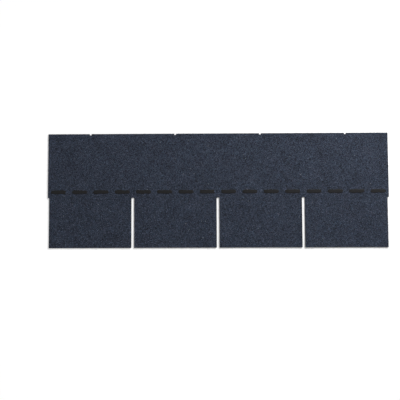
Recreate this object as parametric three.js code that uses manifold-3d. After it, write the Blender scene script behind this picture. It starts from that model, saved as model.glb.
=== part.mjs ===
// Four-tab rectangular asphalt strip shingle, lying flat with its granule face up.
// Millimetres. X runs along the course, Y runs up the roof and Z is the thickness.
// The origin is the middle of the underside.

import * as THREE from "three";
import { mergeVertices } from "three/addons/utils/BufferGeometryUtils.js";
import Module from "manifold-3d";

// ---- driving dimensions ----

// the sheet
const stripLength = 1000;        // along the course
const stripHeight = 336;         // butt edge to head edge
const stripThickness = 3;        // sanded back to granule tips
const exposure = 144;            // what stays in view of each course once laid

// the tabs and the die-cut slots between them
const tabCount = 4;
const slotWidth = 8;
const slotOverrun = 3;           // slot beyond the exposure, so that no blind end shows
const slotEndRadius = 2.5;       // inner corners at the blind end of a slot
const tabCornerRadius = 2;       // corners of a tab at its butt edge

// the alignment notches in the head edge, one over the middle of each tab
const notchWidth = 6;
const notchDepth = 4;
const notchRadius = 1.5;

// the self-seal adhesive, laid in dashes above the slots
const dashesPerTab = 4;
const dashGap = 17.5;            // bare face between two dashes, wider than a slot
const dashWidth = 12;
const dashHeight = 0.8;
const dashShoulder = 1.8;        // width of the rounded edge round a dash
const dashCornerRadius = 4;
const sealantSetback = 14;       // from the butt edge of the next course to the adhesive

// the release film, let into the back under the line of adhesive
const filmWidth = 30;
const filmThickness = 0.1;
const filmClearance = 0.3;       // from the film's edge to the side of its recess

// facets in each rounded corner, and across the shoulder of a dash
const cornerFacets = 6;
const shoulderFacets = 3;

// ---- places that follow from them ----

const tabPitch = stripLength / tabCount;
const halfSlot = slotWidth / 2;
const slotLength = exposure + slotOverrun;
const dashPitch = tabPitch / dashesPerTab;
const dashLength = dashPitch - dashGap;
const sealantY = exposure + sealantSetback + dashWidth / 2;

// ---- materials ----

const granules = new THREE.MeshStandardMaterial({ color: 0x343a45, roughness: 0.92, metalness: 0 });
const bitumen = new THREE.MeshStandardMaterial({ color: 0x101012, roughness: 0.4, metalness: 0 });
const film = new THREE.MeshStandardMaterial({ color: 0xb9bec2, roughness: 0.25, metalness: 0 });

// ---- cutting one solid from another ----

const wasm = await Module();
wasm.setup();

function toSolid(geometry) {
  const bare = geometry.clone();
  bare.deleteAttribute("normal");
  bare.deleteAttribute("uv");
  const merged = mergeVertices(bare);
  return new wasm.Manifold(new wasm.Mesh({
    numProp: 3,
    vertProperties: new Float32Array(merged.attributes.position.array),
    triVerts: new Uint32Array(merged.index.array),
  }));
}

function cut(geometry, tool) {
  const mesh = toSolid(geometry).subtract(toSolid(tool)).getMesh();
  const indexed = new THREE.BufferGeometry();
  indexed.setAttribute("position", new THREE.BufferAttribute(mesh.vertProperties, 3));
  indexed.setIndex(new THREE.BufferAttribute(mesh.triVerts, 1));
  const result = indexed.toNonIndexed();
  result.computeVertexNormals();
  return result;
}

// ---- outlines ----

// An anticlockwise outline of square corners, each rounded by its own radius r. A left turn
// is an outside corner, and a right turn is the inside corner of a slot or a notch.
function roundedOutline(corners) {
  const shape = new THREE.Shape();
  corners.forEach((corner, i) => {
    const before = corners.at(i - 1);
    const after = corners[(i + 1) % corners.length];
    const back = new THREE.Vector2(before.x - corner.x, before.y - corner.y).normalize();
    const ahead = new THREE.Vector2(after.x - corner.x, after.y - corner.y).normalize();
    const start = new THREE.Vector2(corner.x, corner.y).addScaledVector(back, corner.r);
    if (i === 0) {
      shape.moveTo(start.x, start.y);
    } else {
      shape.lineTo(start.x, start.y);
    }
    if (corner.r > 0) {
      const centre = start.clone().addScaledVector(ahead, corner.r);
      const from = Math.atan2(-ahead.y, -ahead.x);
      const to = Math.atan2(-back.y, -back.x);
      const turnsRight = back.cross(ahead) > 0;
      shape.absarc(centre.x, centre.y, corner.r, from, to, turnsRight);
    }
  });
  shape.closePath();
  return shape;
}

// the whole strip: tabs along the butt edge, half a slot at each end, notches in the head edge
function stripOutline() {
  const corners = [{ x: 0, y: slotLength, r: 0 }];
  for (let tab = 0; tab < tabCount; tab++) {
    const left = tab * tabPitch + halfSlot;
    const right = (tab + 1) * tabPitch - halfSlot;
    corners.push(
      { x: left, y: slotLength, r: slotEndRadius },
      { x: left, y: 0, r: tabCornerRadius },
      { x: right, y: 0, r: tabCornerRadius },
      { x: right, y: slotLength, r: slotEndRadius },
    );
  }
  corners.push({ x: stripLength, y: slotLength, r: 0 });
  corners.push({ x: stripLength, y: stripHeight, r: 0 });
  for (let tab = tabCount - 1; tab >= 0; tab--) {
    const middle = (tab + 0.5) * tabPitch;
    const right = middle + notchWidth / 2;
    const left = middle - notchWidth / 2;
    corners.push(
      { x: right, y: stripHeight, r: 0 },
      { x: right, y: stripHeight - notchDepth, r: notchRadius },
      { x: left, y: stripHeight - notchDepth, r: notchRadius },
      { x: left, y: stripHeight, r: 0 },
    );
  }
  corners.push({ x: 0, y: stripHeight, r: 0 });
  return roundedOutline(corners);
}

// a rectangle about the origin with equal round corners
function plateOutline(length, width, r) {
  return roundedOutline([
    { x: -length / 2, y: -width / 2, r },
    { x: length / 2, y: -width / 2, r },
    { x: length / 2, y: width / 2, r },
    { x: -length / 2, y: width / 2, r },
  ]);
}

// ---- the pieces ----

// an arc takes two facets for each curve segment
const curveSegments = cornerFacets / 2;

// the die-cut sheet, with a shallow groove along its back for the film
function stripGeometry() {
  const sheet = new THREE.ExtrudeGeometry(stripOutline(), {
    depth: stripThickness, bevelEnabled: false, curveSegments,
  });
  const grooveWidth = filmWidth + 2 * filmClearance;
  const groove = new THREE.BoxGeometry(2 * stripLength, grooveWidth, 2 * filmThickness);
  groove.translate(stripLength / 2, sealantY, 0);
  return cut(sheet, groove);
}

// one dash of adhesive: flat below, with a quarter-round shoulder that rises to a flat top
function dashGeometry() {
  const outline = plateOutline(dashLength, dashWidth, dashCornerRadius);
  const slab = new THREE.ExtrudeGeometry(outline, {
    depth: dashHeight,
    bevelThickness: dashHeight,
    bevelSize: dashShoulder,
    bevelOffset: -dashShoulder,
    bevelSegments: shoulderFacets,
    curveSegments,
  });
  slab.translate(0, 0, -dashHeight);
  const below = new THREE.BoxGeometry(2 * dashLength, 2 * dashWidth, 4 * dashHeight);
  below.translate(0, 0, -2 * dashHeight);
  return cut(slab, below);
}

function named(name, geometry, material) {
  const mesh = new THREE.Mesh(geometry, material);
  mesh.name = name;
  return mesh;
}

// ---- the shingle ----

const group = new THREE.Group();
group.name = "asphalt_strip_shingle";

// everything above is laid out from the strip's lower left corner
const layout = new THREE.Group();
layout.position.set(-stripLength / 2, -stripHeight / 2, 0);
group.add(layout);

layout.add(named("shingle_strip", stripGeometry(), granules));

const dash = dashGeometry();
for (let i = 0; i < tabCount * dashesPerTab; i++) {
  const piece = named(`sealant_dash_${String(i + 1).padStart(2, "0")}`, dash, bitumen);
  piece.position.set((i + 0.5) * dashPitch, sealantY, stripThickness);
  layout.add(piece);
}

const tape = new THREE.BoxGeometry(stripLength, filmWidth, filmThickness);
tape.translate(stripLength / 2, sealantY, filmThickness / 2);
layout.add(named("release_film", tape, film));

export default group;
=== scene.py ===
import math

import bpy
import numpy as np
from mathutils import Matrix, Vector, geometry


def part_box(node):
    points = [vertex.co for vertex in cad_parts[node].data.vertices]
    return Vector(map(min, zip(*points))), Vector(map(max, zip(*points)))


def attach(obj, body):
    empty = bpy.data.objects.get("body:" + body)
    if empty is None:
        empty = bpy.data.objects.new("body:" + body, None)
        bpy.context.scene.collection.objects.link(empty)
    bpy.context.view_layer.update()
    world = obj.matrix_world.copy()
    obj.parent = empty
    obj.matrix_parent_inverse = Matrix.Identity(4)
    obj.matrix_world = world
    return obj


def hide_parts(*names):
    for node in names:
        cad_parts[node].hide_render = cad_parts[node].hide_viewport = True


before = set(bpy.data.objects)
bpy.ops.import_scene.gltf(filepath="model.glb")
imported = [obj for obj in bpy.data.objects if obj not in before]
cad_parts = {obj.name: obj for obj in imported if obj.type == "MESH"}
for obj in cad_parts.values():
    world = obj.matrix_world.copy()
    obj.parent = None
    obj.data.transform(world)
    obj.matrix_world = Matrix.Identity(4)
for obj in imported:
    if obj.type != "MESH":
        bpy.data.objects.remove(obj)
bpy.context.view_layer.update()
mm = 0.001

# camera

cameraSet = {
    "lens": 45.0,
    "sensor": 36.0,
    "place": (-0.0414, -0.0996, 1.4667),   # metres
    "turn": (2.78, 0.44, -0.25),           # degrees about X, Y and Z, Z first
}


def makeCamera(s):
    data = bpy.data.cameras.new("camera")
    data.lens = s["lens"]
    data.sensor_width = s["sensor"]
    camera = bpy.data.objects.new("camera", data)
    camera.rotation_mode = "ZYX"
    camera.rotation_euler = [math.radians(t) for t in s["turn"]]
    camera.location = s["place"]
    bpy.context.scene.collection.objects.link(camera)
    bpy.context.scene.camera = camera


makeCamera(cameraSet)
print("camera ready")

# shader helpers


class Sock:
    # a socket that takes part in Python sums, each of which adds a Math node
    def __init__(self, nodes, socket):
        self.nodes = nodes
        self.socket = socket

    def maths(self, operation, a, b):
        return self.nodes.node("ShaderNodeMath", {"operation": operation}, {0: a, 1: b})

    def __add__(self, other):
        return self.maths("ADD", self, other)

    def __radd__(self, other):
        return self.maths("ADD", other, self)

    def __sub__(self, other):
        return self.maths("SUBTRACT", self, other)

    def __rsub__(self, other):
        return self.maths("SUBTRACT", other, self)

    def __mul__(self, other):
        return self.maths("MULTIPLY", self, other)

    def __rmul__(self, other):
        return self.maths("MULTIPLY", other, self)

    def __truediv__(self, other):
        return self.maths("DIVIDE", self, other)

    def __rtruediv__(self, other):
        return self.maths("DIVIDE", other, self)

    def __pow__(self, other):
        return self.maths("POWER", self, other)

    def __rpow__(self, other):
        return self.maths("POWER", other, self)

    def above(self, other):
        return self.maths("GREATER_THAN", self, other)


class Nodes:
    # a node tree and the way to add to it
    def __init__(self, tree):
        self.tree = tree

    # kind of node, its settings, and what goes into its sockets, by name or number
    def node(self, kind, settings=None, inputs=None, out=0):
        made = self.tree.nodes.new(kind)
        for key, value in (settings or {}).items():
            if key == "stops":
                self.setStops(made.color_ramp, value)
            else:
                setattr(made, key, value)
        for key, value in (inputs or {}).items():
            if isinstance(value, Sock):
                self.tree.links.new(value.socket, made.inputs[key])
            else:
                made.inputs[key].default_value = value
        return Sock(self, made.outputs[out])

    def setStops(self, ramp, stops):
        while len(ramp.elements) < len(stops):
            ramp.elements.new(1.0)
        for element, (at, colour) in zip(ramp.elements, stops):
            element.position = at
            element.color = (*colour, 1.0)


class Paint(Nodes):
    # one material: its Principled shader, and the nodes that the materials below share
    def __init__(self, name, constants=None):
        self.material = bpy.data.materials.new(name)
        self.material.use_nodes = True
        super().__init__(self.material.node_tree)
        self.shader = self.tree.nodes["Principled BSDF"]
        for socket, value in (constants or {}).items():
            self.shader.inputs[socket].default_value = value

    def place(self):
        return self.node("ShaderNodeTexCoord", out="Object")

    def stretched(self, vector, scale):
        return self.node("ShaderNodeMapping", inputs={"Vector": vector, "Scale": scale})

    def noise(self, vector, perMetre, detail=2.0, rough=0.5):
        inputs = {"Vector": vector, "Scale": perMetre, "Detail": detail, "Roughness": rough}
        return self.node("ShaderNodeTexNoise", inputs=inputs)

    def cells(self, vector, perMetre, out="Color", feature="F1"):
        inputs = {"Vector": vector, "Scale": perMetre}
        return self.node("ShaderNodeTexVoronoi", {"feature": feature}, inputs, out)

    def mix(self, share, a, b):
        settings = {"data_type": "RGBA"}
        a, b = [(*c, 1.0) if isinstance(c, tuple) else c for c in (a, b)]
        return self.node("ShaderNodeMix", settings, {0: share, 6: a, 7: b}, out=2)

    def times(self, a, b):
        settings = {"data_type": "RGBA", "blend_type": "MULTIPLY"}
        return self.node("ShaderNodeMix", settings, {0: 1.0, 6: a, 7: b}, out=2)

    def ramp(self, share, stops):
        return self.node("ShaderNodeValToRGB", {"stops": stops}, {0: share})

    def bump(self, height, depth):
        inputs = {"Height": height, "Distance": depth}
        return self.node("ShaderNodeBump", inputs=inputs)

    def wear(self, links):
        for socket, value in links.items():
            self.tree.links.new(value.socket, self.shader.inputs[socket])
        return self.material


# mesh helpers


def addPiece(name, points, faces, material, smooth=False):
    # points in millimetres, faces as rows of equal length
    mesh = bpy.data.meshes.new(name)
    faces = np.asarray(faces, np.int32)
    sides = faces.shape[1]
    mesh.vertices.add(len(points))
    mesh.vertices.foreach_set("co", (np.asarray(points) * mm).ravel())
    mesh.loops.add(faces.size)
    mesh.loops.foreach_set("vertex_index", faces.ravel())
    mesh.polygons.add(len(faces))
    mesh.polygons.foreach_set("loop_start", np.arange(0, faces.size, sides, dtype=np.int32))
    mesh.polygons.foreach_set("loop_total", np.full(len(faces), sides, np.int32))
    mesh.update(calc_edges=True)
    mesh.validate()
    mesh.polygons.foreach_set("use_smooth", np.full(len(mesh.polygons), smooth))
    mesh.materials.append(material)
    piece = bpy.data.objects.new(name, mesh)
    bpy.context.scene.collection.objects.link(piece)
    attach(piece, "root")
    return piece


# the strip's own sizes, as they were cut

strip = {
    "tabs": 4,
    "slotWidth": 8.0,
    "slotLength": 147.0,
    "slotEndRadius": 2.5,
    "tabCornerRadius": 2.0,
    "notchWidth": 6.0,
    "notchDepth": 4.0,
    "notchRadius": 1.5,
    "arcPoints": 5,          # on each rounded corner
    "coatLevel": 2.25,       # the bitumen face that the stones are pressed into
    "backLevel": 0.08,
    "rippleHeight": 0.3,     # how far the sheet lifts off the floor in its long waves
    "ripples": (0.0171, 0.0193, 0.0043),   # radians to the millimetre: along, across, and bent
    "rippleStarts": (0.6, 1.1),
    "cornerLift": 0.5,       # and at the free corners of its tabs
}

low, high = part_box("shingle_strip")
left, bottom = low.x / mm, low.y / mm
length, height = (high.x - low.x) / mm, (high.y - low.y) / mm
topLevel = high.z / mm
pitch = length / strip["tabs"]


def lift(x, y):
    # how far the sheet rises at (x, y): two crossed sine waves brought to between 0 and 1, plus
    # the fourth power of the share of the way from a tab's middle to its side, times the cube
    # of the share of the way down from the blind ends of the slots to the butt edge
    (fast, cross, bent), starts = strip["ripples"], strip["rippleStarts"]
    crossed = np.sin(x * fast + starts[0]) * np.sin(y * cross + x * bent + starts[1])
    wave = strip["rippleHeight"] * (0.5 + 0.5 * crossed)
    across = 2 * np.mod((x - left) / pitch, 1.0) - 1
    down = np.clip((bottom + strip["slotLength"] - y) / strip["slotLength"], 0, 1)
    return wave + strip["cornerLift"] * across ** 4 * down ** 3


def outlineCorners():
    # the strip's corners, anticlockwise, as x, y and the radius that rounds each
    blind = bottom + strip["slotLength"]
    top = bottom + height
    half = strip["slotWidth"] / 2
    rows = [(left, blind, 0)]
    for tab in range(strip["tabs"]):
        a = left + tab * pitch + half
        b = left + (tab + 1) * pitch - half
        rows += [(a, blind, strip["slotEndRadius"]), (a, bottom, strip["tabCornerRadius"])]
        rows += [(b, bottom, strip["tabCornerRadius"]), (b, blind, strip["slotEndRadius"])]
    rows += [(left + length, blind, 0), (left + length, top, 0)]
    for tab in reversed(range(strip["tabs"])):
        middle = left + (tab + 0.5) * pitch
        a, b = middle + strip["notchWidth"] / 2, middle - strip["notchWidth"] / 2
        deep = top - strip["notchDepth"]
        rows += [(a, top, 0), (a, deep, strip["notchRadius"])]
        rows += [(b, deep, strip["notchRadius"]), (b, top, 0)]
    rows.append((left, top, 0))
    return np.array(rows, float)


def outlinePath(step):
    # walks the corners: straight runs cut into equal steps, and quarter circles whose centre
    # lies one radius along both sides of the corner
    corners = outlineCorners()
    here, radius = corners[:, :2], corners[:, 2:]
    back = np.roll(here, 1, axis=0) - here
    ahead = np.roll(here, -1, axis=0) - here
    back /= np.linalg.norm(back, axis=1, keepdims=True)
    ahead /= np.linalg.norm(ahead, axis=1, keepdims=True)
    enter, leave = here + back * radius, here + ahead * radius
    centre = enter + ahead * radius
    turn = np.linspace(0, math.pi / 2, strip["arcPoints"])[:, None]
    parts = []
    for i in range(len(corners)):
        if radius[i] > 0:
            arc = centre[i] - radius[i] * (ahead[i] * np.cos(turn) + back[i] * np.sin(turn))
        else:
            arc = here[i:i + 1]
        run = enter[(i + 1) % len(corners)] - leave[i]
        steps = max(2, int(np.linalg.norm(run) / step))
        share = np.arange(1, steps)[:, None] / steps
        parts += [arc, leave[i] + run * share]
    path = np.concatenate(parts)
    along = np.roll(path, -1, axis=0) - np.roll(path, 1, axis=0)
    outward = np.stack([along[:, 1], -along[:, 0]], axis=1)
    return path, outward / np.linalg.norm(outward, axis=1, keepdims=True)


def clearOfEdge(x, y):
    # distance in millimetres from (x, y) to the nearest cut edge, negative outside the strip:
    # the smaller of the distances to the sides, to the slots and to the notches
    sides = np.minimum.reduce([x - left, left + length - x, y - bottom, bottom + height - y])
    toSlot = np.abs(np.mod((x - left) / pitch + 0.5, 1.0) - 0.5) * pitch - strip["slotWidth"] / 2
    overSlot = y - (bottom + strip["slotLength"])
    slots = np.where(overSlot > 0, np.hypot(np.maximum(toSlot, 0), overSlot), toSlot)
    slots = np.where((overSlot > 0) & (toSlot < 0), overSlot, slots)
    toNotch = np.abs(np.mod((x - left) / pitch, 1.0) - 0.5) * pitch - strip["notchWidth"] / 2
    underNotch = bottom + height - strip["notchDepth"] - y
    notches = np.where(underNotch > 0, np.hypot(np.maximum(toNotch, 0), underNotch), toNotch)
    notches = np.where((underNotch > 0) & (toNotch < 0), underNotch, notches)
    return np.minimum.reduce([sides, slots, notches])


# the sheet: bitumen-coated glass mat with a sanded back

sheetSet = {
    "step": 1.5,             # along the cut edge
    "lattice": 11.0,         # between the points that carry the sheet's waves
    "margin": 6.0,           # from the strip's sides to the first of them
    "scatter": 2.0,
    "clear": 3.0,            # from the cut edge to the nearest of them
    "ragged": 0.16,          # how far the cut edge wanders
    "levels": (0.2, 0.9, 1.25, 2.0),       # of the edge's rows, between the back and the bed
    "insets": (0.12, 0.0, 0.03, 0.0, 0.02, 0.25),   # of the back's row, of these, of the bed's
    "seed": 11,
    "bedGrains": 1500.0,     # to the metre
    "edgeDust": 2600.0,
    "fibres": (420.0, 420.0, 5200.0),      # to the metre in x, y and z
    "fibresAbove": 0.56,     # of the noise that makes them
    "mat": (0.00115, 0.0003),              # height of the glass mat and half its thickness
    "sand": 2200.0,
    "sandClouds": 14.0,
    "relief": (0.0004, 0.0003, 0.0002),    # metres: of the bed, the cut edge and the back
}


def bedPaint(s):
    # bitumen showing between the stones, full of the finest grains
    p = Paint("granule_bed", {"Specular IOR Level": 0.1})
    place = p.place()
    grain = p.cells(place, s["bedGrains"])
    tone = p.node("ShaderNodeSeparateColor", inputs={0: grain})
    stops = [
        (0.0, (0.006, 0.006, 0.008)),
        (0.45, (0.022, 0.027, 0.037)),
        (1.0, (0.060, 0.072, 0.096)),
    ]
    height = 1 - p.cells(place, s["bedGrains"], "Distance")
    return p.wear({
        "Base Color": p.ramp(tone, stops),
        "Roughness": 0.95 - 0.3 * tone,
        "Normal": p.bump(height, s["relief"][0]),
    })


def edgePaint(s):
    # the cut: black bitumen filled with stone dust, with the ends of the glass fibres in it
    p = Paint("cut_edge", {"Specular IOR Level": 0.2})
    place = p.place()
    dust = p.noise(place, s["edgeDust"], 3.0, 0.7)
    fibre = p.noise(p.stretched(place, s["fibres"]), 1.0, 1.0)
    matMiddle, matHalf = s["mat"]
    high = p.node("ShaderNodeSeparateXYZ", inputs={0: place}, out="Z")
    fromMat = p.node("ShaderNodeMath", {"operation": "ABSOLUTE"}, {0: (high - matMiddle) / matHalf})
    near = {"operation": "SUBTRACT", "use_clamp": True}
    inMat = p.node("ShaderNodeMath", near, {0: 1.0, 1: fromMat})
    stops = [
        (0.3, (0.006, 0.006, 0.007)),
        (0.62, (0.018, 0.018, 0.020)),
        (0.8, (0.06, 0.06, 0.06)),
    ]
    glass = inMat * fibre.above(s["fibresAbove"]) * 0.55
    return p.wear({
        "Base Color": p.mix(glass, p.ramp(dust, stops), (0.20, 0.19, 0.16)),
        "Roughness": 0.62 + 0.3 * dust,
        "Normal": p.bump(dust, s["relief"][1]),
    })


def backPaint(s):
    # fine sand and talc on bitumen
    p = Paint("sanded_back", {"Specular IOR Level": 0.2})
    place = p.place()
    grain = p.cells(place, s["sand"])
    tone = p.node("ShaderNodeSeparateColor", inputs={0: grain})
    cloud = p.noise(place, s["sandClouds"], 4.0, 0.6)
    stops = [
        (0.0, (0.016, 0.016, 0.017)),
        (0.5, (0.070, 0.068, 0.064)),
        (1.0, (0.24, 0.23, 0.21)),
    ]
    height = 1 - p.cells(place, s["sand"], "Distance")
    return p.wear({
        "Base Color": p.mix(cloud * 0.5, p.ramp(tone, stops), (0.055, 0.055, 0.055)),
        "Roughness": 0.98 - 0.2 * tone,
        "Normal": p.bump(height, s["relief"][2]),
    })


def makeSheet(s):
    # side wall: the outline at each level of the profile, drawn in by that level's inset and
    # moved in and out by smooth noise along the path; caps: the first and last rows filled
    # together with a lattice of inner points by a constrained Delaunay triangulation
    rng = np.random.default_rng(s["seed"])
    path, outward = outlinePath(s["step"])
    levels = np.array([strip["backLevel"], *s["levels"], strip["coatLevel"]])
    count, rows = len(path), len(levels)
    wander = rng.normal(0, 1, (rows, count))
    wander = (np.roll(wander, 1, axis=1) + 2 * wander + np.roll(wander, -1, axis=1)) / 4
    move = s["ragged"] * wander - np.array(s["insets"])[:, None]
    around = path[None] + outward[None] * move[:, :, None]
    heights = levels[:, None] + lift(around[..., 0], around[..., 1])
    wall = np.concatenate([around, heights[..., None]], axis=2).reshape(-1, 3)

    xs = np.arange(left + s["margin"], left + length - s["margin"], s["lattice"])
    ys = np.arange(bottom + s["margin"], bottom + height - s["margin"], s["lattice"])
    inner = np.stack(np.meshgrid(xs, ys), axis=-1).reshape(-1, 2)
    inner = inner + rng.uniform(-s["scatter"], s["scatter"], inner.shape)
    inner = inner[clearOfEdge(inner[:, 0], inner[:, 1]) > s["clear"]]

    def cap(ring):
        # triangles of the ring and the inner points, numbered as they were given
        flat = np.concatenate([ring, inner]).tolist()
        loop = [(i, (i + 1) % count) for i in range(count)]
        found = geometry.delaunay_2d_cdt(flat, loop, [], 1, 1e-7)
        triangles, origins = found[2], found[3]
        firstOrigin = np.array([origin[0] for origin in origins])
        return firstOrigin[np.array(triangles)]

    ring = np.arange(count)
    after = np.roll(ring, -1)
    base = np.arange(rows - 1)[:, None] * count
    quads = np.stack([base + ring, base + after, base + count + after, base + count + ring], axis=-1)
    quads = quads.reshape(-1, 4)
    sides = np.concatenate([quads[:, [0, 1, 2]], quads[:, [0, 2, 3]]])
    under, over = cap(around[0]), cap(around[-1])
    innerLift = lift(inner[:, 0], inner[:, 1])[:, None]
    lowerInner = np.concatenate([inner, innerLift + levels[0]], axis=1)
    upperInner = np.concatenate([inner, innerLift + levels[-1]], axis=1)
    points = np.concatenate([wall, lowerInner, upperInner])
    lowStart, topRow = rows * count, (rows - 1) * count
    under = np.where(under < count, under, under - count + lowStart)[:, ::-1]
    over = np.where(over < count, over + topRow, over - count + lowStart + len(inner))
    faces = np.concatenate([sides, under, over])
    piece = addPiece("shingle_sheet", points, faces, bedPaint(s))
    for material in (edgePaint(s), backPaint(s)):
        piece.data.materials.append(material)
    kinds = np.repeat([1, 2, 0], [len(sides), len(under), len(over)])
    piece.data.polygons.foreach_set("material_index", kinds.astype(np.int32))
    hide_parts("shingle_strip")
    return piece


makeSheet(sheetSet)
print("sheet ready")

# the stones pressed into its face

stoneSet = {
    "spacing": 2.37,         # between the middles of the large ones
    "size": (1.45, 2.35),    # across, smallest and largest
    "chipSize": (0.85, 1.45),
    "scatter": (0.21, 0.16),         # of large ones and of chips, in spacings
    "edgeClear": (0.35, 0.95),       # how far inside the cut edge a stone's middle stays
    "chipTops": (0.12, 0.42),        # above the bitumen face
    "chipDepth": 0.9,
    "chipShare": 0.66,       # of the gaps between large ones that hold a chip
    "sunk": 0.25,            # foot of a crushed stone below the bitumen face
    "upperReach": (0.58, 1.02),      # of its corners, in half sizes
    "lowerReach": (0.90, 1.12),
    "uneven": 0.22,          # typical error of their angles, in radians
    "crestDrop": (0.16, 0.24),       # of the whole top, and of a corner more
    "rolledShare": 0.55,     # of the large ones that lie flat side up
    "rolledSize": (1.5, 2.3),
    "rolledTops": (0.26, 0.02),      # below the tips' level, lowest and highest
    "rolledDepth": 1.7,      # point below the bitumen face
    "rolledReach": (0.80, 1.2),      # of its corners, in half sizes
    "rolledUneven": 0.13,    # typical error of their angles, in steps from one to the next
    "rolledRough": 0.03,     # and of their heights
    "pointOff": 0.1,         # of its point from its middle, in half sizes
    "tilt": 0.11,            # typical slope of a flat side
    "lightest": 0.985,       # shade of the lightest ordinary stone; a pale one has 1
    "paleShare": 0.0012,
    "mottle": 0.045,         # typical change of shade over the waves below
    "tintSpread": 0.22,
    "drift": 0.05,           # typical change of tint over them
    "waves": 26,
    "waveLengths": (7.0, 150.0),     # of the shortest and the longest
    "waveStarts": (1.7, 2.3),        # for shade and for tint
    "waveFall": 0.05,        # how fast the strength of a wave falls with its length
    "goldenAngle": 2.39996,
    "chipping": 3200.0,      # grains to the metre on a stone's face
    "sheen": 700.0,
    "relief": 0.00012,       # metres
    "mapFill": 0.42,         # half width of a stone, in squares of the map
    "seed": 5,
}


def stonePaint(s):
    # ceramic-coated crushed rock: one colour to a stone, from near black through slate blue,
    # some greyer and some greener than the rest, to a rare pale one, with a finely chipped face
    p = Paint("stone_granules", {"Specular IOR Level": 0.1})
    tone = p.node("ShaderNodeAttribute", {"attribute_name": "tone"}, out="Fac")
    stops = [
        (0.0, (0.007, 0.008, 0.012)),
        (0.15, (0.020, 0.024, 0.037)),
        (0.50, (0.044, 0.056, 0.090)),
        (0.80, (0.074, 0.093, 0.145)),
        (s["lightest"], (0.099, 0.122, 0.176)),
        (1.0, (0.26, 0.28, 0.32)),
    ]
    tint = p.node("ShaderNodeAttribute", {"attribute_name": "tint"}, out="Fac")
    cast = p.mix(tint, (0.86, 1.03, 1.05), (1.14, 0.97, 0.95))
    chips = p.noise(p.place(), s["chipping"], 2.0, 0.6)
    return p.wear({
        "Base Color": p.times(p.ramp(tone, stops), cast),
        "Roughness": 0.58 + 0.34 * p.noise(p.place(), s["sheen"], 1.0),
        "Normal": p.bump(chips, s["relief"]),
    })


def stoneCentres(s, rng):
    # large stones on a jittered triangular lattice, chips near the middles of its triangles
    a = s["spacing"]
    rise = a * math.sqrt(3) / 2
    rows, columns = int(height / rise) + 3, int(length / a) + 3
    row, column = np.mgrid[0:rows, 0:columns]
    x = left + (column + 0.5 * (row % 2) - 1) * a
    y = bottom + (row - 1) * rise
    lattice = np.stack([x, y], axis=-1).reshape(-1, 2)
    large = lattice + rng.normal(0, s["scatter"][0] * a, lattice.shape)
    gaps = np.concatenate([lattice + [a / 2, rise / 3], lattice + [0, rise * 2 / 3]])
    gaps = gaps[rng.random(len(gaps)) < s["chipShare"]]
    gaps = gaps + rng.normal(0, s["scatter"][1] * a, gaps.shape)
    keep = [clearOfEdge(*g.T) > rng.uniform(*s["edgeClear"], len(g)) for g in (large, gaps)]
    return large[keep[0]], gaps[keep[1]]


def crushedStones(centres, s, rng):
    # three upper corners at uneven heights, and three lower ones a sixth of a turn on and
    # wider, all at uneven angles and distances; eight flat faces close them
    n = len(centres)
    third = np.arange(3) * 2 * math.pi / 3
    half = rng.uniform(*s["size"], (n, 1)) / 2
    spin = rng.uniform(0, 2 * math.pi, (n, 1))
    upper = spin + third + rng.normal(0, s["uneven"], (n, 3))
    lower = spin + math.pi / 3 + third + rng.normal(0, s["uneven"], (n, 3))
    far = half * rng.uniform(*s["upperReach"], (n, 3))
    wide = half * rng.uniform(*s["lowerReach"], (n, 3))
    upper = far[..., None] * np.stack([np.cos(upper), np.sin(upper)], -1)
    lower = wide[..., None] * np.stack([np.cos(lower), np.sin(lower)], -1)
    flat = np.concatenate([upper, lower], axis=1) + centres[:, None]
    whole, corner = s["crestDrop"]
    crest = topLevel - rng.uniform(0, whole, (n, 1)) - corner * rng.uniform(0, 1, (n, 3)) ** 1.5
    foot = np.full((n, 3), strip["coatLevel"] - s["sunk"])
    tall = np.concatenate([crest, foot], axis=1) + lift(centres[:, 0], centres[:, 1])[:, None]
    points = np.concatenate([flat, tall[..., None]], axis=2)
    faces = [(0, 1, 2), (5, 4, 3)]
    faces += [(0, 3, 1), (1, 4, 2), (2, 5, 0), (3, 4, 1), (4, 5, 2), (5, 3, 0)]
    return points, np.array(faces)


def rolledStones(centres, s, rng, corners, size, tops, depth):
    # a ring of upper corners at uneven angles, distances and heights, tilted a little in some
    # direction, and one point deep in the bitumen, about below their middle; the ring is closed
    # by a fan and each of its sides is joined to the point
    n = len(centres)
    step = 2 * math.pi / corners
    half = rng.uniform(*size, (n, 1)) / 2
    turn = rng.uniform(0, 2 * math.pi, (n, 1)) + np.arange(corners) * step
    turn = turn + rng.normal(0, s["rolledUneven"] * step, (n, corners))
    away = half * rng.uniform(*s["rolledReach"], (n, corners))
    ring = away[..., None] * np.stack([np.cos(turn), np.sin(turn)], -1)
    point = rng.normal(0, s["pointOff"], (n, 1, 2)) * half[..., None]
    flat = np.concatenate([ring, point], axis=1) + centres[:, None]
    slope = rng.normal(0, s["tilt"], (n, 1, 2))
    crest = rng.uniform(*tops, (n, 1)) + (ring * slope).sum(axis=2)
    crest = crest + rng.normal(0, s["rolledRough"], (n, corners))
    foot = np.full((n, 1), strip["coatLevel"] - depth)
    tall = np.concatenate([crest, foot], axis=1) + lift(centres[:, 0], centres[:, 1])[:, None]
    points = np.concatenate([flat, tall[..., None]], axis=2)
    fan = [(0, k, k + 1) for k in range(1, corners - 1)]
    sides = [((k + 1) % corners, k, corners) for k in range(corners)]
    return points, np.array(fan + sides)


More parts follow.
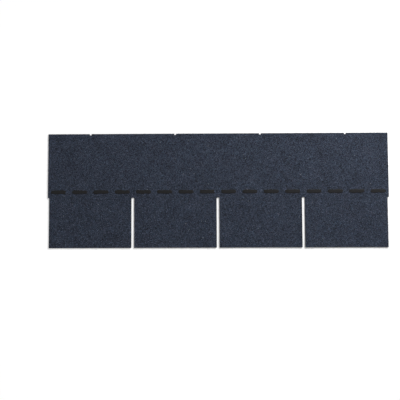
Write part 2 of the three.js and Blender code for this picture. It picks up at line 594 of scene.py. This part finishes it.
def stoneTones(centres, s, rng):
    # a random shade for each, raised and lowered by a mottle: a sum of plane waves whose
    # directions go round by the golden angle, and whose strength falls as they get longer;
    # the tint drifts by the same waves with x and y exchanged and other starts
    k = np.arange(s["waves"])
    turn, size = k * s["goldenAngle"], np.geomspace(*s["waveLengths"], len(k))
    facing = np.stack([np.cos(turn), np.sin(turn)]) * 2 * math.pi / size
    strength = size ** -s["waveFall"]
    strength /= math.sqrt((strength ** 2).sum() / 2)
    forShade, forTint = s["waveStarts"]
    mottle = np.sin(centres @ facing + forShade * k * k) @ strength
    most = s["lightest"]
    tone = np.clip(rng.uniform(0, most, len(centres)) + s["mottle"] * mottle, 0, most)
    tone = np.where(rng.random(len(centres)) < s["paleShare"], 1.0, tone)
    drift = np.sin(centres @ facing[::-1] + forTint * k * k) @ strength
    tint = np.clip(rng.normal(0.5, s["tintSpread"], len(centres)) + s["drift"] * drift, 0, 1)
    return tone, tint


def mapByTone(s, tones, corners, each):
    # a square of the map for each stone, in order of shade, so that neighbours on the map
    # look alike; in its square a stone is drawn as seen from above
    side = int(math.ceil(math.sqrt(len(tones))))
    rank = np.empty(len(tones), int)
    rank[np.argsort(tones, kind="stable")] = np.arange(len(tones))
    row, column = rank // side, rank % side
    column = np.where(row % 2 == 0, column, side - 1 - column)
    middle = (np.stack([column, row], axis=1) + 0.5) / side
    return (middle[each] + corners * s["mapFill"] / side).astype(np.float32)


def makeStones(s, name, kinds, paint):
    # every stone of one zone in one mesh, with its shade and tint on its corners; kinds: for
    # each shape of stone its points (n, k, 3), its faces, and the shade and tint of each stone
    points, faces, spots, shades, tints = [], [], [], [], []
    start, first = 0, 0
    tones = np.concatenate([kind[2] for kind in kinds])
    for places, pattern, shade, tint in kinds:
        n, k = places.shape[:2]
        points.append(places.reshape(-1, 3))
        faces.append((start + np.arange(n)[:, None, None] * k + pattern).reshape(-1, 3))
        own = places[..., :2] - places[..., :2].mean(axis=1, keepdims=True)
        own = own / np.abs(own).max(axis=(1, 2), keepdims=True)
        each = np.repeat(first + np.arange(n), k)
        spots.append(mapByTone(s, tones, own.reshape(-1, 2), each))
        shades.append(np.repeat(shade, k))
        tints.append(np.repeat(tint, k))
        start, first = start + n * k, first + n
    piece = addPiece(name, np.concatenate(points), np.concatenate(faces), paint)
    mesh = piece.data
    for label, values in (("tone", shades), ("tint", tints)):
        layer = mesh.attributes.new(label, "FLOAT", "POINT")
        layer.data.foreach_set("value", np.concatenate(values).astype(np.float32))
    order = np.empty(len(mesh.loops), np.int32)
    mesh.loops.foreach_get("vertex_index", order)
    layer = mesh.uv_layers.new(name="OFBake")
    layer.uv.foreach_set("vector", np.concatenate(spots)[order].ravel())
    return piece


def makeAllStones(s):
    # places, shapes and shades for the whole face first, then one piece for each tab, up to the
    # blind ends of the slots, and one for the lap above it
    rng = np.random.default_rng(s["seed"])
    large, chips = stoneCentres(s, rng)
    isRolled = rng.random(len(large)) < s["rolledShare"]
    crushed, rolled = large[~isRolled], large[isRolled]
    tops = [topLevel - t for t in s["rolledTops"]]
    chipTops = [strip["coatLevel"] + t for t in s["chipTops"]]
    kinds = (
        (crushed, crushedStones(crushed, s, rng)),
        (rolled, rolledStones(rolled, s, rng, 5, s["rolledSize"], tops, s["rolledDepth"])),
        (chips, rolledStones(chips, s, rng, 3, s["chipSize"], chipTops, s["chipDepth"])),
    )
    shades = [stoneTones(centres, s, rng) for centres, _ in kinds]
    paint = stonePaint(s)
    blind = bottom + strip["slotLength"]
    total = 0
    for zone, onLap in (("tab", False), ("lap", True)):
        for i in range(strip["tabs"]):
            picked = []
            for (centres, (places, pattern)), (tone, tint) in zip(kinds, shades):
                column = np.clip((centres[:, 0] - left) // pitch, 0, strip["tabs"] - 1)
                here = (column == i) & ((centres[:, 1] > blind) == onLap)
                picked.append((places[here], pattern, tone[here], tint[here]))
            piece = makeStones(s, f"granules_{zone}_{i + 1}", picked, paint)
            total += len(piece.data.polygons)
    print(len(large), "stones and", len(chips), "chips in", total, "triangles")


makeAllStones(stoneSet)
print("stones ready")

# the self-seal adhesive

beadSet = {
    "squareness": 5.0,       # of the superellipse that a dash is drawn as
    "along": 84,
    "across": 15,
    "foot": 2.35,            # the adhesive runs down between the stones to this level
    "rimHeight": 0.35,       # of its edge above the bitumen face
    "wobble": (0.8, 0.3),    # of its rim, in long waves and in the size of a stone
    "longWaves": (2, 3, 5, 7, 9),    # how many times each goes up and down round the dash
    "stoneWaves": (19, 23, 29, 37, 41),
    "sag": 0.18,             # share of its crown that the hollows of its long swell take away
    "swell": (0.5, 0.8),     # radians to the millimetre, along and across
    "hump": 0.075,           # height of the bumps that the stones under it push up
    "humpLength": 2.5,       # from one to the next
    "bend": (1.4, (0.9, 1.3)),       # of their rows: how far, and how fast along and across
    "feetIn": 0.98,          # share of the way out to the rim where its feet stand
    "grains": {"humps": 430.0, "pull": 210.0, "dust": 1100.0, "pins": 900.0},   # to the metre
    "relief": 0.0009,        # metres
    "seed": 21,
}


def sealantPaint(s):
    # soft black bitumen, dulled by a little dust, drawn into low humps by the stones under it
    # and with small pinholes
    p = Paint("sealant_bitumen", {"Specular IOR Level": 0.16})
    place, grains = p.place(), s["grains"]
    humps = p.cells(place, grains["humps"], "Distance", "SMOOTH_F1")
    pull = p.noise(p.stretched(place, (1.0, 1.7, 1.0)), grains["pull"], 3.0, 0.5)
    dust = p.noise(place, grains["dust"], 3.0, 0.7)
    pins = p.cells(place, grains["pins"], "Distance").above(0.16)
    stops = [
        (0.35, (0.0050, 0.0050, 0.0055)),
        (0.62, (0.010, 0.010, 0.011)),
        (0.78, (0.03, 0.032, 0.036)),
    ]
    height = 0.5 * pull - 0.5 * humps + 0.12 * pins
    return p.wear({
        "Base Color": p.ramp(dust, stops),
        "Roughness": 0.48 + 0.4 * dust,
        "Normal": p.bump(height, s["relief"]),
    })


def makeBead(s, node, paint, rng):
    # over (u, v), each from -1 to 1 and closest near the rim: u runs along the dash, and v across
    # the width that a superellipse leaves there. Share is how far out a point is, 1 at the rim,
    # which wanders by sine waves that go round the dash. The height is that of the rim plus a
    # crown, the root of one less the fourth power of share, times the rise to the crest. Two
    # crossed sine waves take from that rise, and humps add to it, the sum of three plane waves a
    # third of a turn apart, bent by a longer one. Each section across is closed by a foot on
    # either side, and each end by a fan
    a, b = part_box(node)
    middle = np.array([(a.x + b.x) / 2, (a.y + b.y) / 2]) / mm
    reach = np.array([(b.x - a.x) / 2, (b.y - a.y) / 2]) / mm
    crest = b.z / mm
    power = s["squareness"]
    u = np.sin(np.linspace(-1, 1, s["along"] + 2)[1:-1, None] * math.pi / 2)
    v = np.sin(np.linspace(-1, 1, s["across"])[None] * math.pi / 2)
    square = np.stack([u + 0 * v, (1 - np.abs(u) ** power) ** (1 / power) * v], axis=-1)
    share = (np.abs(square) ** power).sum(axis=-1) ** (1 / power)
    turn = np.arctan2(square[..., 1], square[..., 0])[..., None]
    waves = np.array(s["longWaves"] + s["stoneWaves"])
    sway = np.sin(turn * waves + rng.uniform(0, 2 * math.pi, len(waves)))
    slow, quick = np.split(sway, [len(s["longWaves"])], axis=-1)
    slow, quick = slow.mean(axis=-1) - 0.5, quick.mean(axis=-1)
    wander = (s["wobble"][0] * slow + s["wobble"][1] * quick) * share ** 2
    top = middle + square * (reach + wander[..., None])

    phase = rng.uniform(0, 2 * math.pi, 2)
    crossed = np.sin(top * s["swell"] + phase).prod(axis=-1)
    third = np.arange(3) * 2 * math.pi / 3 + phase[0]
    facing = np.stack([np.cos(third), np.sin(third)]) * 2 * math.pi / s["humpLength"]
    bendBy, bendFast = s["bend"]
    bend = bendBy * np.sin(top @ bendFast + phase[1])
    humps = np.sin(top @ facing + bend[..., None]).sum(axis=-1)
    edge = strip["coatLevel"] + s["rimHeight"]
    crown = np.sqrt(np.clip(1 - share ** 4, 0, 1))
    kept = 1 - s["sag"] * (0.5 + 0.5 * crossed)
    tall = edge + crown * ((crest - edge) * kept + s["hump"] * humps)

    feet = middle + (top[:, [-1, 0]] - middle) * s["feetIn"]
    rings = np.concatenate([
        np.concatenate([top, tall[..., None]], axis=2),
        np.concatenate([feet, np.full((s["along"], 2, 1), s["foot"])], axis=2),
    ], axis=1)
    tips = rings[[0, -1]].mean(axis=1)
    points = np.concatenate([rings.reshape(-1, 3), tips])
    points[:, 2] += lift(points[:, 0], points[:, 1])
    around = s["across"] + 2
    ring = np.arange(around)
    after = np.roll(ring, -1)
    base = np.arange(s["along"] - 1)[:, None] * around
    quads = np.stack([base + ring, base + around + ring, base + around + after, base + after], -1)
    quads = quads.reshape(-1, 4)
    last = (s["along"] - 1) * around
    near, far = len(points) - 2, len(points) - 1
    faces = np.concatenate([
        quads[:, [0, 1, 2]],
        quads[:, [0, 2, 3]],
        np.stack([np.full_like(ring, near), ring, after], axis=1),
        np.stack([np.full_like(ring, far), last + after, last + ring], axis=1),
    ])
    piece = addPiece(node.replace("dash", "bead"), points, faces, paint, smooth=True)
    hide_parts(node)


beadRng = np.random.default_rng(beadSet["seed"])
beadMaterial = sealantPaint(beadSet)
for node in sorted(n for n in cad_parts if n.startswith("sealant_dash_")):
    makeBead(beadSet, node, beadMaterial, beadRng)
print("adhesive ready")

# the release film

filmSet = {
    "along": 240,
    "across": 9,
    "wrinkle": 0.02,         # height of a wrinkle
    "wrinkles": (0.9, 0.21, 0.43, 0.05),   # radians to the millimetre
    "seated": 0.02,          # how far its upper side stands in the strip's back
    "creases": (60.0, 6.0),  # to the metre along it, and how many times closer across
    "relief": 0.0006,        # metres
}


def filmPaint(s):
    # pale plastic with creases that run along it; its colour is painted shade, darker in their
    # hollows and paler on their ridges
    p = Paint("release_tape")
    along, closer = s["creases"]
    creases = p.noise(p.stretched(p.place(), (1.0, closer, 1.0)), along, 3.0, 0.6)
    return p.wear({
        # painted shade: the colour follows the creases' height, darker where they sink and paler
        # where they rise
        "Base Color": p.mix(creases, (0.42, 0.44, 0.46), (0.56, 0.58, 0.60)),
        "Roughness": 0.16 + 0.2 * creases,
        "Normal": p.bump(creases, s["relief"]),
    })


def makeFilm(s):
    # two grids of the same (x, y) places, joined round their rims: an upper one that stands a
    # little way into the strip's back, and a lower one raised by wrinkles, which are a sine wave
    # along the film, bent by a slower one, times a slow wave across it
    a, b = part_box("release_film")
    xs = np.linspace(a.x, b.x, s["along"]) / mm
    ys = np.linspace(a.y, b.y, s["across"]) / mm
    x, y = np.meshgrid(xs, ys, indexing="ij")
    fine, bent, cross, slant = s["wrinkles"]
    crossed = np.sin(x * fine + 3 * np.sin(y * bent)) * np.sin(y * cross + x * slant)
    wrinkle = s["wrinkle"] * (0.5 + 0.5 * crossed)
    level = lift(x, y)
    lower = np.stack([x, y, level + wrinkle], axis=-1).reshape(-1, 3)
    upper = np.stack([x, y, level + strip["backLevel"] + s["seated"]], axis=-1).reshape(-1, 3)
    grid = np.arange(x.size).reshape(x.shape)
    cells = np.stack([grid[:-1, :-1], grid[1:, :-1], grid[1:, 1:], grid[:-1, 1:]], axis=-1)
    cells = cells.reshape(-1, 4)
    rim = np.concatenate([grid[:-1, 0], grid[-1, :-1], grid[:0:-1, -1], grid[0, :0:-1]])
    after = np.roll(rim, -1)
    wall = np.stack([rim, after, after + x.size, rim + x.size], axis=-1)
    faces = np.concatenate([cells + x.size, cells[:, ::-1], wall])
    points = np.concatenate([lower, upper])
    piece = addPiece("release_tape", points, faces, filmPaint(s))
    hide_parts("release_film")


makeFilm(filmSet)
print("film ready")

# floor, light and background

studio = {
    "floorSize": 12.0,
    "floorShade": 0.62,          # what the floor gives back to the object
    "keyShare": 0.52,            # of white, a little under what the lamp gives the middle
    "nearReach": (0.75, 0.45),   # half axes of the ellipse that counts as near
    "farShare": (0.85, 1.75),    # where, in those half axes, the floor turns to plain white
    "ambient": 0.42,
    "keyPlace": (1.25, 1.40, 1.10),
    "keySize": 0.7,
    "keyPower": 54.3,
}


def seenDirectly(nodes):
    # 1 for rays from the camera, a mirror or a glass, else 0
    seen = nodes.node("ShaderNodeLightPath", out="Is Camera Ray")
    for kind in ("Glossy", "Transmission"):
        ray = nodes.node("ShaderNodeLightPath", out=f"Is {kind} Ray")
        seen = nodes.node("ShaderNodeMath", {"operation": "MAXIMUM"}, {0: seen, 1: ray})
    return seen


def makeFloor(s):
    # near the object the floor is white and takes its shadow, and glows by what the light
    # leaves short of white: one less the ambient and less the lamp's share, which falls with
    # the cube of the distance from it; further out the floor turns, by the distance from the
    # middle measured in half axes of the near ellipse, to an even white; both only where it is
    # seen directly
    half = s["floorSize"] / 2
    mesh = bpy.data.meshes.new("floor")
    corners = [(-half, -half, 0), (half, -half, 0), (half, half, 0), (-half, half, 0)]
    mesh.from_pydata(corners, [], [(0, 1, 2, 3)])
    floor = bpy.data.objects.new("floor", mesh)
    bpy.context.scene.collection.objects.link(floor)
    constants = {"Roughness": 1.0, "Specular IOR Level": 0.0, "Emission Strength": 1.0}
    p = Paint("floor", constants)
    seen = seenDirectly(p)
    nearReach = (1 / s["nearReach"][0], 1 / s["nearReach"][1], 0.0)
    inReach = p.stretched(p.place(), nearReach)
    away = p.node("ShaderNodeVectorMath", {"operation": "LENGTH"}, {0: inReach}, "Value")
    limits = {"From Min": s["farShare"][0], "From Max": s["farShare"][1], "Value": away}
    far = p.node("ShaderNodeMapRange", {"interpolation_type": "SMOOTHSTEP"}, limits)
    shown = p.mix(far, (1.0, 1.0, 1.0), (0.0, 0.0, 0.0))
    reach = math.hypot(*s["keyPlace"])
    ends = {0: p.place(), 1: s["keyPlace"]}
    fromKey = p.node("ShaderNodeVectorMath", {"operation": "DISTANCE"}, ends, "Value")
    short = 1 - s["ambient"] - s["keyShare"] * (reach / fromKey) ** 3.0
    glow = p.node("ShaderNodeMath", {"operation": "MAXIMUM"}, {0: short, 1: 0.0})
    glow = glow + (1 - glow) * far
    floor.data.materials.append(p.wear({
        "Base Color": p.mix(seen, (s["floorShade"],) * 3, shown),
        "Emission Color": p.mix(seen * glow, (0.0, 0.0, 0.0), (1.0, 1.0, 1.0)),
    }))


def makeWorld(s):
    # white, at full strength where it is seen directly and else at that of the ambient light
    world = bpy.data.worlds.new("studio")
    bpy.context.scene.world = world
    world.use_nodes = True
    nodes = Nodes(world.node_tree)
    background = nodes.tree.nodes["Background"]
    background.inputs["Color"].default_value = (1, 1, 1, 1)
    strength = nodes.node("ShaderNodeMix", inputs={0: seenDirectly(nodes), 2: s["ambient"], 3: 1.0})
    nodes.tree.links.new(strength.socket, background.inputs["Strength"])


def makeKey(s):
    # a disk lamp that faces the middle of the floor
    data = bpy.data.lights.new("key", "AREA")
    data.shape = "DISK"
    data.size = s["keySize"]
    data.energy = s["keyPower"]
    key = bpy.data.objects.new("key", data)
    key.location = s["keyPlace"]
    back = key.location.normalized()
    key.rotation_mode = "QUATERNION"
    key.rotation_quaternion = back.to_track_quat("Z", "Y")
    bpy.context.scene.collection.objects.link(key)


makeFloor(studio)
makeWorld(studio)
makeKey(studio)
bpy.context.scene.view_settings.view_transform = "Standard"
print("studio ready")
